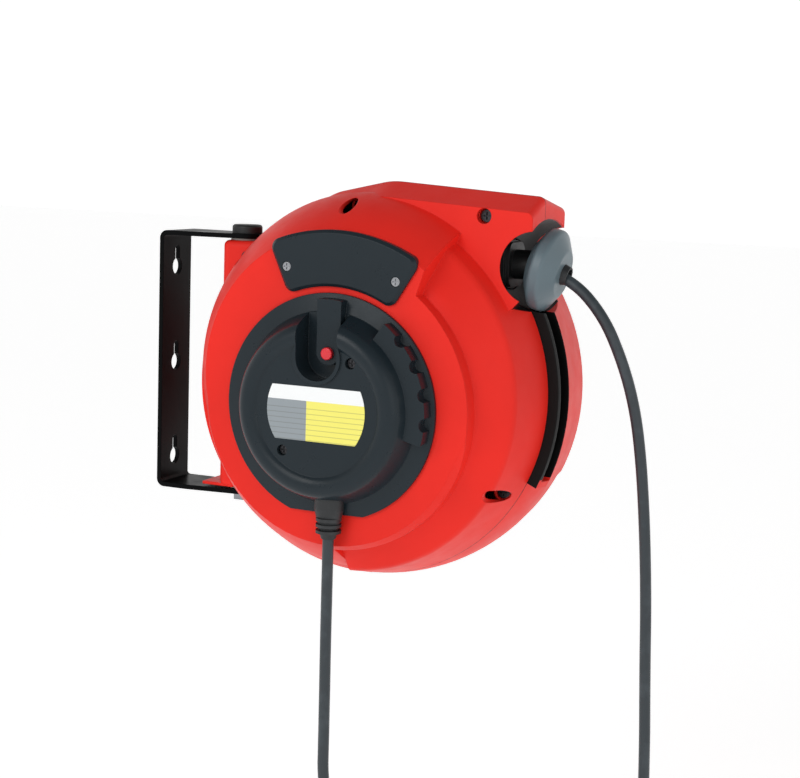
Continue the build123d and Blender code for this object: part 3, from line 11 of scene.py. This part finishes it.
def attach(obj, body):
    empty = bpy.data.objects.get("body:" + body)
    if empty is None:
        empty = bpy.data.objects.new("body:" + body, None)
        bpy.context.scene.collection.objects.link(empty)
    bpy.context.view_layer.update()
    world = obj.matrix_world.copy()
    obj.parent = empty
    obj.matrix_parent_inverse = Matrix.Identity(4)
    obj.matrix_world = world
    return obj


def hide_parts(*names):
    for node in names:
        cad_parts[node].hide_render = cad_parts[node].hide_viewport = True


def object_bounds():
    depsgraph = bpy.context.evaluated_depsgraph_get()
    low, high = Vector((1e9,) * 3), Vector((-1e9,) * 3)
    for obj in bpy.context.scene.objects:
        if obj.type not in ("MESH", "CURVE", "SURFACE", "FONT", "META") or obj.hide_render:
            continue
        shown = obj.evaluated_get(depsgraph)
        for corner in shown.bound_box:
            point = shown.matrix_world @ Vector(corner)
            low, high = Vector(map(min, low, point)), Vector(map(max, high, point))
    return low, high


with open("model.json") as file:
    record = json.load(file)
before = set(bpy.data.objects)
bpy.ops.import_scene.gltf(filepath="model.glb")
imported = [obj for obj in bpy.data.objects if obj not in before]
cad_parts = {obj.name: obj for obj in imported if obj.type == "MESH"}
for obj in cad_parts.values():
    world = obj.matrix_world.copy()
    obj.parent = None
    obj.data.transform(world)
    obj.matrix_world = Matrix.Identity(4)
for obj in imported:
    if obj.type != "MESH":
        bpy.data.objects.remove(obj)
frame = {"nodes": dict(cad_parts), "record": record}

CAD_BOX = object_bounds()

# ---------------------------------------------------------------- driving sizes
CORD_R = 0.0046
CORD_Y = 0.006
DRUM_CENTRE = Vector((0.196, 0.0, -0.009))
MOUTH = Vector((0.350, CORD_Y, 0.1003))
COIL_CENTRE = Vector((0.207, -0.0843, -0.420))
COIL_CONTROL_R = 0.0504
COIL_PITCH = 0.0094
COIL_ENTRY_DEG = 41.8
COIL_TURNS = 2.116
COIL_POINTS = 34
PLUG_TOP = Vector((0.257, -0.0744, -0.466))

OUTLET_ROUTE = [
    (0.337, CORD_Y, 0.0996),
    (0.365, CORD_Y, 0.0931),
    (0.395, CORD_Y, 0.065),
    (0.414, CORD_Y, 0.027),
    (0.426, CORD_Y, -0.010),
    (0.433, CORD_Y, -0.050),
    (0.4385, CORD_Y, -0.100),
    (0.443, CORD_Y, -0.160),
    (0.4456, CORD_Y, -0.225),
    (0.449, CORD_Y, -0.290),
    (0.4505, CORD_Y, -0.352),
]
SUPPLY_ROUTE = [
    (0.206, -0.0942, -0.101),
    (0.206, -0.0942, -0.190),
    (0.2068, -0.0942, -0.270),
    (0.207, -0.0942, -0.345),
]
TAIL_TOP_Z = -0.440

# where shade is painted near-black on the red plastic: the side slot, the step beside it, the
# inside and the mouth; and the dark line painted between the halves; as low and high limits or a
# radius
SIDE_X = 0.335
SLOT_Y = (-0.0052, 0.0134)
SLOT_Z = (-0.0735, 0.0665)
STEP_Y = (-0.0052, -0.0046)
STEP_Z = (-0.0950, 0.0665)
INSIDE_R = 0.1580
INSIDE_Y = (-0.0045, 0.0790)
MOUTH_R = 0.0384
MOUTH_X = (0.2900, 0.3455)
MOUTH_Y = (-0.0325, 0.0425)
SEAM_Y = (-0.0055, -0.0046)
SEAM_SHARE = 0.75

# the label's fields
HEADER_BOTTOM_Z = -0.0095
YELLOW_LEFT_X = 0.192
RULES_TOP_Z = -0.013
RULE_WAVES = 1500.0
RULE_CREST = 0.86
RULE_SHARE = 0.35

# stage, lamps and camera
FLOOR_HALF = 14.0
FLOOR_GAP = 0.02
FLOOR_GLOW = 0.56
SKY_Z = (0.2, 0.75)
SKY_STRENGTH = (1.05, 0.25)
LAMP_TARGET = (0.2, 0.0, 0.0)
LAMPS = [
    # name, place, size, power
    ("key", (-0.3, -1.7, 0.9), 0.9, 9),
    ("fill", (1.8, -1.2, 0.5), 1.2, 2.5),
]
CAMERA_PLACE = (0.7949, -1.2961, 0.1891)
CAMERA_AZIMUTH = radians(23.8)
CAMERA_ELEVATION = radians(8.0)
CAMERA_ROLL = radians(1.9)
CAMERA_LENS = 76.5


# ---------------------------------------------------------------- node helpers
class Shader:
    """A material's node tree, with short calls for the nodes used here."""

    def __init__(self, name):
        self.material = bpy.data.materials.new(name)
        self.material.use_nodes = True
        self.tree = self.material.node_tree
        self.surface = self.tree.nodes["Principled BSDF"]
        self.place = self.tree.nodes.new("ShaderNodeTexCoord").outputs["Object"]

    def set(self, **values):
        for name, value in values.items():
            self.surface.inputs[name.replace("_", " ")].default_value = value

    def link(self, source, name):
        self.tree.links.new(source, self.surface.inputs[name])

    def feed(self, socket, value):
        """Link an output to a socket, or set the socket to a plain value."""
        if isinstance(value, bpy.types.NodeSocket):
            self.tree.links.new(value, socket)
        else:
            socket.default_value = value

    def node(self, kind, inputs=(), **settings):
        node = self.tree.nodes.new(kind)
        for name, value in settings.items():
            setattr(node, name, value)
        for name, value in dict(inputs).items():
            self.feed(node.inputs[name], value)
        return node

    def noise(self, scale, detail=3.0, roughness=0.5, place=None):
        inputs = {
            "Scale": scale,
            "Detail": detail,
            "Roughness": roughness,
            "Vector": place or self.place,
        }
        return self.node("ShaderNodeTexNoise", inputs).outputs["Fac"]

    def spread(self, fac, low, high, start=0.3, end=0.7):
        """Map a 0 to 1 value onto a range."""
        inputs = {
            "Value": fac,
            "From Min": start,
            "From Max": end,
            "To Min": low,
            "To Max": high,
        }
        return self.node("ShaderNodeMapRange", inputs).outputs["Result"]

    def blend(self, fac, a, b):
        node = self.node("ShaderNodeMix", data_type="RGBA")
        self.feed(node.inputs["Factor"], fac)
        self.feed(node.inputs[6], a)
        self.feed(node.inputs[7], b)
        return node.outputs[2]

    def math(self, operation, a, b=0.0):
        node = self.node("ShaderNodeMath", operation=operation)
        self.feed(node.inputs[0], a)
        self.feed(node.inputs[1], b)
        return node.outputs[0]

    def axes(self):
        return self.node("ShaderNodeSeparateXYZ", {"Vector": self.place}).outputs

    def above(self, value, limit):
        return self.math("GREATER_THAN", value, limit)

    def all_of(self, *tests):
        """1 where every test is 1."""
        product = tests[0]
        for test in tests[1:]:
            product = self.math("MULTIPLY", product, test)
        return product

    def any_of(self, *tests):
        """1 where some test is 1."""
        largest = tests[0]
        for test in tests[1:]:
            largest = self.math("MAXIMUM", largest, test)
        return largest

    def between(self, value, limits):
        return self.all_of(self.above(value, limits[0]), self.math("LESS_THAN", value, limits[1]))

    def round_y(self, x, z, centre, radius):
        """1 closer than the radius to the line along y through the centre."""
        across = self.math("SUBTRACT", x, centre.x)
        rise = self.math("SUBTRACT", z, centre.z)
        squares = self.math(
            "ADD",
            self.math("MULTIPLY", across, across),
            self.math("MULTIPLY", rise, rise),
        )
        return self.math("LESS_THAN", squares, radius * radius)

    def bump(self, height, strength, distance, normal=None):
        inputs = {"Height": height, "Strength": strength, "Distance": distance}
        if normal is not None:
            inputs["Normal"] = normal
        return self.node("ShaderNodeBump", inputs).outputs["Normal"]

    def soft_edges(self, radius):
        return self.node("ShaderNodeBevel", {"Radius": radius}, samples=6).outputs["Normal"]


def srgb(r, g, b):
    """Linear colour with alpha from 0 to 255 screen values."""
    def linear(value):
        value /= 255
        return value / 12.92 if value <= 0.04045 else ((value + 0.055) / 1.055) ** 2.4
    return (linear(r), linear(g), linear(b), 1.0)


# ---------------------------------------------------------------- materials
def moulded_shader(
    name,
    colour,
    roughness,
    grain=900.0,
    depth=0.00006,
    edge=0.0009,
    coat=0.0,
    specular=0.4,
):
    """Moulded plastic: spark-eroded grain, slow colour drift, handling sheen and soft edges."""
    s = Shader(name)
    darker = tuple(channel * 0.9 for channel in colour[:3]) + (1.0,)
    s.link(s.blend(s.spread(s.noise(14, 5), 0, 1), darker, colour), "Base Color")
    scuffs = s.noise(60, 8, 0.65)
    s.link(s.spread(scuffs, roughness - 0.05, roughness + 0.07), "Roughness")
    fine = s.noise(grain, 2)
    broad = s.noise(35, 2)
    height = s.math("ADD", fine, s.math("MULTIPLY", broad, 1.5))
    s.link(s.bump(height, 0.55, depth, s.soft_edges(edge)), "Normal")
    s.set(Specular_IOR_Level=specular, Coat_Weight=coat, Coat_Roughness=0.25)
    return s


def moulded(*values, **settings):
    return moulded_shader(*values, **settings).material


def powder_coat(name):
    """Satin black powder coat with orange peel and a little wear."""
    s = Shader(name)
    peel = s.noise(420, 2)
    wear = s.spread(s.noise(90, 10, 0.7), 0, 1, 0.66, 0.74)
    s.link(s.blend(wear, srgb(4, 5, 6), srgb(18, 19, 20)), "Base Color")
    s.link(s.spread(s.noise(50, 6), 0.3, 0.44), "Roughness")
    s.link(s.bump(peel, 0.35, 0.00008, s.soft_edges(0.0008)), "Normal")
    s.set(Specular_IOR_Level=0.06)
    return s.material


def metal(name, colour, roughness, brushed=1200.0):
    """Plated or machined metal with fine lay marks."""
    s = Shader(name)
    stretch = s.node("ShaderNodeMapping", {"Vector": s.place, "Scale": (1.0, 12.0, 1.0)})
    lay = s.noise(brushed, 2, 0.5, stretch.outputs["Vector"])
    darker = tuple(channel * 0.75 for channel in colour[:3]) + (1.0,)
    s.link(s.blend(s.spread(s.noise(130, 6), 0, 1), darker, colour), "Base Color")
    s.link(s.spread(lay, roughness - 0.06, roughness + 0.1), "Roughness")
    s.link(s.bump(lay, 0.2, 0.00003, s.soft_edges(0.0003)), "Normal")
    s.set(Metallic=1.0)
    return s.material


def rubber(name, colour, roughness=0.5, grain=700.0):
    """Matt rubber sheath with a fine skin, dust and slight bloom."""
    s = Shader(name)
    dust = s.spread(s.noise(45, 8, 0.6), 0, 1, 0.5, 0.75)
    paler = tuple(channel * 1.6 + 0.01 for channel in colour[:3]) + (1.0,)
    s.link(s.blend(dust, colour, paler), "Base Color")
    s.link(s.spread(s.noise(80, 6), roughness - 0.08, roughness + 0.08), "Roughness")
    s.link(s.bump(s.noise(grain, 3), 0.4, 0.00006), "Normal")
    s.set(Specular_IOR_Level=0.45)
    return s.material


def printed_label(name):
    """Foil label: white header, grey field and yellow field with blank ruled lines."""
    s = Shader(name)
    x, _, z = s.axes()
    header = s.above(z, HEADER_BOTTOM_Z)
    right = s.above(x, YELLOW_LEFT_X)
    lines = s.above(s.math("SINE", s.math("MULTIPLY", z, RULE_WAVES)), RULE_CREST)
    below = s.math("LESS_THAN", z, RULES_TOP_Z)
    ruled = s.math("MULTIPLY", s.all_of(lines, below), RULE_SHARE)
    fields = s.blend(right, srgb(139, 147, 152), srgb(238, 230, 106))
    fields = s.blend(ruled, fields, srgb(90, 92, 80))
    s.link(s.blend(header, fields, srgb(238, 240, 240)), "Base Color")
    s.link(s.spread(s.noise(70, 6), 0.28, 0.4), "Roughness")
    s.link(s.bump(s.noise(160, 3), 0.15, 0.00005), "Normal")
    s.set(Coat_Weight=0.3, Coat_Roughness=0.15)
    return s.material


def casing_red(name):
    """The red moulded plastic, with painted shade (near-black) in its recesses and a dark painted
    line along the halves' parting line.
    """
    s = moulded_shader(
        name,
        srgb(233, 42, 32),
        0.42,
        grain=1300.0,
        depth=0.00004,
        edge=0.0012,
        specular=0.15,
    )
    x, y, z = s.axes()
    side = s.above(x, SIDE_X)
    # painted shade: the side slot, the step beside it, the inside and the mouth are recesses in
    # shadow, painted near-black
    painted_shade_recesses = s.any_of(
        s.all_of(s.between(y, SLOT_Y), s.between(z, SLOT_Z), side),
        s.all_of(s.between(y, STEP_Y), s.between(z, STEP_Z), side),
        s.all_of(s.round_y(x, z, DRUM_CENTRE, INSIDE_R), s.between(y, INSIDE_Y)),
        s.all_of(s.round_y(x, z, MOUTH, MOUTH_R), s.between(y, MOUTH_Y), s.between(x, MOUTH_X)),
    )
    seam = s.math("MULTIPLY", s.between(y, SEAM_Y), SEAM_SHARE)
    plain = s.surface.inputs["Base Color"].links[0].from_socket
    # painted shade near-black over the recesses, blended with the dark seam line between the
    # halves
    s.link(s.blend(s.any_of(painted_shade_recesses, seam), plain, srgb(5, 5, 5)), "Base Color")
    return s.material


RED = casing_red("casing_red_plastic")
GREY = moulded(
    "cover_grey_plastic",
    srgb(28, 38, 44),
    0.3,
    grain=1500.0,
    depth=0.00005,
    edge=0.001,
    specular=0.22,
)
BLACK = moulded("black_plastic_part", srgb(24, 25, 26), 0.45, edge=0.0005)
DRUM = moulded("drum_plastic_part", srgb(26, 26, 27), 0.5, edge=0.0006)
STOP = moulded("stop_plastic_part", srgb(94, 110, 117), 0.36, edge=0.0008)
NYLON = moulded("nylon_part", srgb(190, 190, 182), 0.4, edge=0.0004)
BUTTON = moulded("button_part", srgb(228, 40, 52), 0.28, edge=0.0006, coat=0.3)
CARBON = moulded("carbon_part", srgb(40, 40, 40), 0.6, edge=0.0002)
PAINT = powder_coat("bracket_powder_coat")
ZINC = metal("zinc_plated_steel", (0.34, 0.35, 0.37, 1.0), 0.28)
OXIDE = metal("black_oxide_steel", (0.06, 0.06, 0.065, 1.0), 0.4)
SPRING = metal("blued_spring_steel", (0.30, 0.32, 0.38, 1.0), 0.3)
BRASS = metal("bare_brass", (0.80, 0.62, 0.30, 1.0), 0.26)
SHEATH = rubber("cord_sheath", srgb(42, 50, 55), 0.4)
RUBBER = rubber("rubber_moulding", srgb(30, 32, 34), 0.5)
LABEL = printed_label("printed_label_foil")

BY_SLOT = {
    "casing_red": RED,
    "cover_grey": GREY,
    "black_plastic": BLACK,
    "drum_black": DRUM,
    "stop_grey": STOP,
    "grey_nylon": NYLON,
    "button_red": BUTTON,
    "carbon": CARBON,
    "bracket_paint": PAINT,
    "zinc_steel": ZINC,
    "black_steel": OXIDE,
    "spring_steel": SPRING,
    "brass": BRASS,
    "cord_black": SHEATH,
    "rubber_black": RUBBER,
    "label": LABEL,
}


def paint_cad_nodes():
    """Give every carried-over CAD node the material of its slot."""
    for row in frame["record"]["subparts"]:
        node = frame["nodes"][row["node"]]
        node.data.materials.clear()
        node.data.materials.append(BY_SLOT[row["material_slot"]])


# ---------------------------------------------------------------- cords
def nurbs_cord(name, points, material):
    """A cord as one NURBS spline with the route's points as its control points."""
    curve = bpy.data.curves.new(name, "CURVE")
    curve.dimensions = "3D"
    curve.bevel_depth = CORD_R
    curve.bevel_resolution = 6
    curve.resolution_u = 12
    curve.use_fill_caps = True
    spline = curve.splines.new("NURBS")
    spline.points.add(len(points) - 1)
    for point, place in zip(spline.points, points):
        point.co = (*place, 1.0)
    spline.order_u = 3
    spline.use_endpoint_u = True
    curve.materials.append(material)
    piece = bpy.data.objects.new(name, curve)
    bpy.context.scene.collection.objects.link(piece)
    return piece


def coil_points():
    """The tied coil: clockwise turns that step back by one cord's width each."""
    points = []
    for step in range(COIL_POINTS + 1):
        share = step / COIL_POINTS
        angle = radians(COIL_ENTRY_DEG - 360 * COIL_TURNS * share)
        x = COIL_CENTRE.x + COIL_CONTROL_R * cos(angle)
        y = SUPPLY_ROUTE[0][1] + COIL_PITCH * COIL_TURNS * share
        z = COIL_CENTRE.z + COIL_CONTROL_R * sin(angle)
        points.append((x, y, z))
    return points


def build_cords():
    outlet = nurbs_cord("outlet_cord_sheath", OUTLET_ROUTE, SHEATH)
    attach(outlet, "casing")
    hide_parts("outlet_cord")
    tail = [(PLUG_TOP.x, PLUG_TOP.y, TAIL_TOP_Z), tuple(PLUG_TOP)]
    supply = nurbs_cord("supply_cord_sheath", SUPPLY_ROUTE + coil_points() + tail, SHEATH)
    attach(supply, "casing")
    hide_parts("supply_cord", "supply_coil", "supply_tail")


# ---------------------------------------------------------------- stage, light and camera
def build_stage():
    mesh = bpy.data.meshes.new("floor")
    sheet = bmesh.new()
    bmesh.ops.create_grid(sheet, x_segments=2, y_segments=2, size=FLOOR_HALF)
    sheet.to_mesh(mesh)
    sheet.free()
    floor = bpy.data.objects.new("floor", mesh)
    floor.location.z = CAD_BOX[0][2] - FLOOR_GAP
    bpy.context.scene.collection.objects.link(floor)
    s = Shader("pale_floor")
    s.set(Base_Color=(0.9, 0.9, 0.9, 1.0), Roughness=0.95)
    s.set(Emission_Color=(1.0, 1.0, 1.0, 1.0), Emission_Strength=FLOOR_GLOW)
    mesh.materials.append(s.material)


def build_world():
    """White round the horizon, greyer overhead, like a studio with its lamps low."""
    world = bpy.context.scene.world or bpy.data.worlds.new("world")
    bpy.context.scene.world = world
    world.use_nodes = True
    tree = world.node_tree
    background = tree.nodes["Background"]
    direction = tree.nodes.new("ShaderNodeTexCoord").outputs["Generated"]
    split = tree.nodes.new("ShaderNodeSeparateXYZ")
    tree.links.new(direction, split.inputs["Vector"])
    fade = tree.nodes.new("ShaderNodeMapRange")
    fade.inputs["From Min"].default_value, fade.inputs["From Max"].default_value = SKY_Z
    fade.inputs["To Min"].default_value, fade.inputs["To Max"].default_value = SKY_STRENGTH
    tree.links.new(split.outputs["Z"], fade.inputs["Value"])
    background.inputs["Color"].default_value = (1.0, 1.0, 1.0, 1.0)
    tree.links.new(fade.outputs["Result"], background.inputs["Strength"])
    bpy.context.scene.view_settings.view_transform = "Standard"


def build_lights():
    for name, place, size, power in LAMPS:
        data = bpy.data.lights.new(name, "AREA")
        data.size = size
        data.energy = power
        lamp = bpy.data.objects.new(name, data)
        lamp.location = place
        aim = Vector(LAMP_TARGET) - Vector(place)
        lamp.rotation_euler = aim.to_track_quat("-Z", "Y").to_euler()
        bpy.context.scene.collection.objects.link(lamp)


def build_camera():
    level_out = cos(CAMERA_ELEVATION)
    back = Vector((
        sin(CAMERA_AZIMUTH) * level_out,
        -cos(CAMERA_AZIMUTH) * level_out,
        sin(CAMERA_ELEVATION),
    ))
    level = Vector((cos(CAMERA_AZIMUTH), sin(CAMERA_AZIMUTH), 0.0))
    above = back.cross(level)
    right = level * cos(CAMERA_ROLL) + above * sin(CAMERA_ROLL)
    up = above * cos(CAMERA_ROLL) - level * sin(CAMERA_ROLL)
    data = bpy.data.cameras.new("camera")
    data.lens = CAMERA_LENS
    data.sensor_width = 36.0
    data.clip_end = 60.0
    camera = bpy.data.objects.new("camera", data)
    turn = Matrix((right, up, back)).transposed().to_4x4()
    camera.matrix_world = Matrix.Translation(CAMERA_PLACE) @ turn
    bpy.context.scene.collection.objects.link(camera)
    bpy.context.scene.camera = camera


paint_cad_nodes()
build_cords()
build_stage()
build_world()
build_lights()
build_camera()
